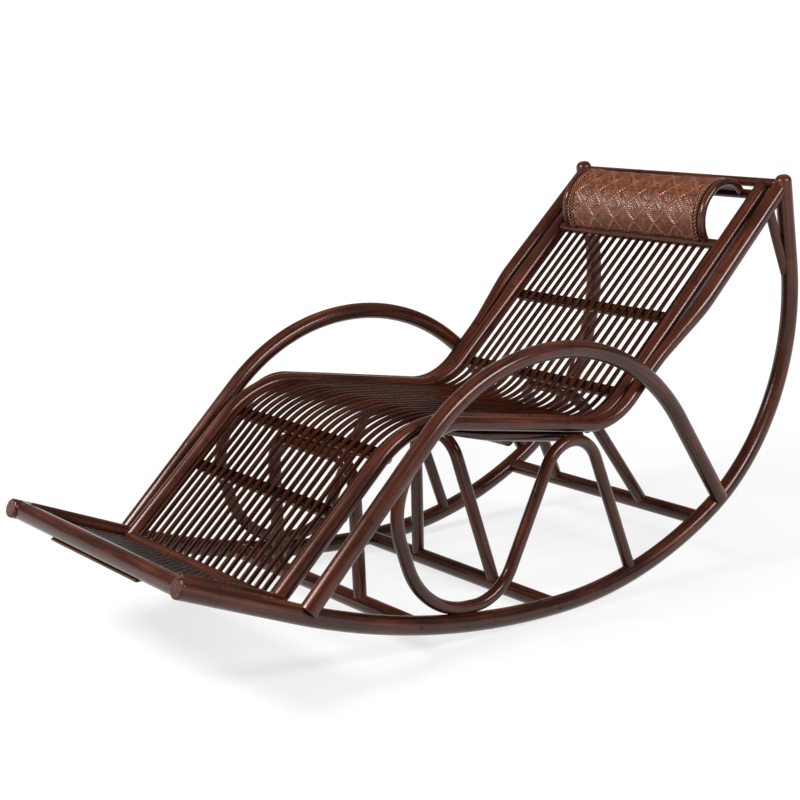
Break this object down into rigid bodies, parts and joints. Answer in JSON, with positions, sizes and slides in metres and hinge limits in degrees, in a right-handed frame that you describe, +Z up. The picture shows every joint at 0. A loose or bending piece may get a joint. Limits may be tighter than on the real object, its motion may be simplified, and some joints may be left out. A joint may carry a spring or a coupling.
{
  "type": "rattan rocking chair",
  "caption": "Reclining rocking chair of bent rattan poles: long runners, arched arms, scrolled side rails, a seat of parallel canes, a woven half-round headrest and a footrest.",
  "frame": {"origin": "on the floor, midway between the points where the two runners touch it", "axes": "+X towards the head end, +Y to the sitter's right, +Z up"},
  "size_m": [1.713, 0.679, 0.8879],
  "materials": {
    "pole": "glossy dark red-brown lacquer on rattan pole",
    "cane": "glossy dark brown lacquer on thin rattan cane",
    "headrest_weave": "lacquered cane skin woven in a diamond lattice",
    "footrest_weave": "dark lacquered fine cane weave",
    "screw": "dark screw end"
  },
  "bodies": {
    "root": {"arm_left": "pole", "arm_right": "pole", "back_batten_lower": "pole", "back_batten_upper": "pole", "cane_01": "cane", "cane_02": "cane", "cane_03": "cane", "cane_04": "cane", "cane_05": "cane", "cane_06": "cane", "cane_07": "cane", "cane_08": "cane", "cane_09": "cane", "cane_10": "cane", "cane_11": "cane", "cane_12": "cane", "cane_13": "cane", "cane_14": "cane", "cane_15": "cane", "cane_16": "cane", "cane_17": "cane", "cane_18": "cane", "cane_19": "cane", "cane_20": "cane", "footrest_front_bar": "pole", "footrest_lath": "pole", "footrest_panel": "footrest_weave", "footrest_rear_bar": "pole", "footrest_side_pole_left": "pole", "footrest_side_pole_right": "pole", "front_arch": "pole", "front_stretcher": "pole", "head_brace_left": "pole", "head_brace_right": "pole", "head_rail": "pole", "headrest_hoop_left": "pole", "headrest_hoop_right": "pole", "headrest_lower_bar": "pole", "headrest_shell": "headrest_weave", "headrest_top_bar": "pole", "inner_rail_left": "pole", "inner_rail_right": "pole", "leg_batten_lower": "pole", "leg_batten_upper": "pole", "middle_arch": "pole", "middle_stretcher": "pole", "rear_arch": "pole", "rear_stretcher": "pole", "runner_left": "pole", "runner_right": "pole", "scroll_rail_left": "pole", "scroll_rail_right": "pole", "seat_batten_front": "pole", "seat_batten_rear": "pole", "seat_bearer_left": "pole", "seat_bearer_right": "pole", "stretcher_bolts": "screw"}
  },
  "joints": []
}
